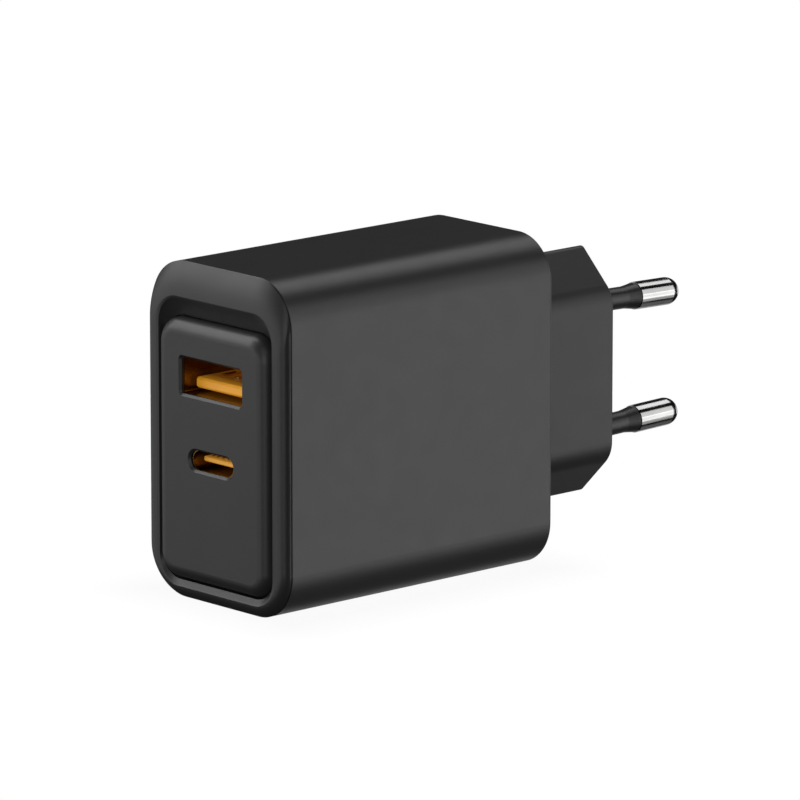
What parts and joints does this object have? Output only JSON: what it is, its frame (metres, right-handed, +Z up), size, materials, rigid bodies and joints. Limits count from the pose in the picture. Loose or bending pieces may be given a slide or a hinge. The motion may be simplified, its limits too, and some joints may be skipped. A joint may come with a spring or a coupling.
{
  "type": "usb wall charger",
  "caption": "Black USB wall charger: rounded rectangular housing with a USB-A and a USB-C port in a raised front panel and a European mains plug with sleeved round pins at the rear.",
  "frame": {"origin": "centre of the housing's flat underside, on which the charger stands", "axes": "+Z up, the ports face -Y, the mains pins point along +Y, +X is to the right when looking at the ports"},
  "size_m": [0.0286, 0.0883, 0.0472],
  "materials": {
    "housing_plastic": "satin black moulded polycarbonate with a very fine spark-eroded grain",
    "cover_plastic": "satin black moulded polycarbonate",
    "panel_plastic": "satin black moulded cap with softly rounded edges",
    "plug_plastic": "matt black moulded plug body",
    "pin_sleeve_plastic": "matt black insulating sleeve",
    "nickel_plate": "polished nickel plating on brass",
    "spring_brass": "stamped brass strip",
    "shell_steel": "nickel-plated stamped sheet",
    "gilt_shell": "stamped receptacle shell with a warm golden plating",
    "orange_insulator": "orange moulded receptacle insulator",
    "amber_insulator": "amber moulded receptacle insulator",
    "gold_contact": "gold-flashed contacts",
    "tinned_wire": "tinned copper",
    "board_laminate": "green solder mask on glass-fibre laminate",
    "fish_paper": "off-white insulation sheet",
    "ferrite": "dark sintered ferrite",
    "bobbin_plastic": "black phenolic",
    "winding_tape": "yellow polyester tape over the coil",
    "enamelled_copper": "enamelled copper wire",
    "can_sleeve": "dark shrink sleeve on a capacitor can",
    "bare_can": "bare aluminium capacitor can",
    "yellow_case": "yellow film capacitor case",
    "grey_case": "grey moulded fuse case",
    "chip_resin": "black moulding compound",
    "green_coating": "dark green dipped coating",
    "blue_coating": "blue dipped coating"
  },
  "bodies": {
    "root": {"main_housing": "housing_plastic", "front_cover": "cover_plastic", "port_panel": "panel_plastic", "plug_base": "plug_plastic", "upper_mains_pin": "nickel_plate", "lower_mains_pin": "nickel_plate", "upper_pin_sleeve": "pin_sleeve_plastic", "lower_pin_sleeve": "pin_sleeve_plastic", "upper_contact_strip": "spring_brass", "lower_contact_strip": "spring_brass", "main_board": "board_laminate", "port_board": "board_laminate", "board_link_pins": "tinned_wire", "insulation_sheet": "fish_paper", "usb_a_shell": "gilt_shell", "usb_a_insulator": "orange_insulator", "usb_a_contacts": "gold_contact", "usb_c_shell": "gilt_shell", "usb_c_tongue": "amber_insulator", "usb_c_midplate": "shell_steel", "usb_c_contacts": "gold_contact", "transformer_core": "ferrite", "transformer_bobbin": "bobbin_plastic", "transformer_winding": "winding_tape", "transformer_pins": "tinned_wire", "fuse": "grey_case", "x_capacitor": "yellow_case", "bridge_rectifier": "chip_resin", "optocoupler": "chip_resin", "thermistor": "green_coating", "y_capacitor": "blue_coating", "upper_bulk_capacitor": "can_sleeve", "lower_bulk_capacitor": "can_sleeve", "output_capacitor": "bare_can", "choke_core": "ferrite", "choke_windings": "enamelled_copper", "controller_ic": "chip_resin", "switch_transistor": "chip_resin", "rectifier_transistor": "chip_resin", "port_controller_ic": "chip_resin", "usb_a_switch": "chip_resin", "usb_c_switch": "chip_resin", "left_port_capacitor": "bare_can", "right_port_capacitor": "bare_can"}
  },
  "joints": []
}
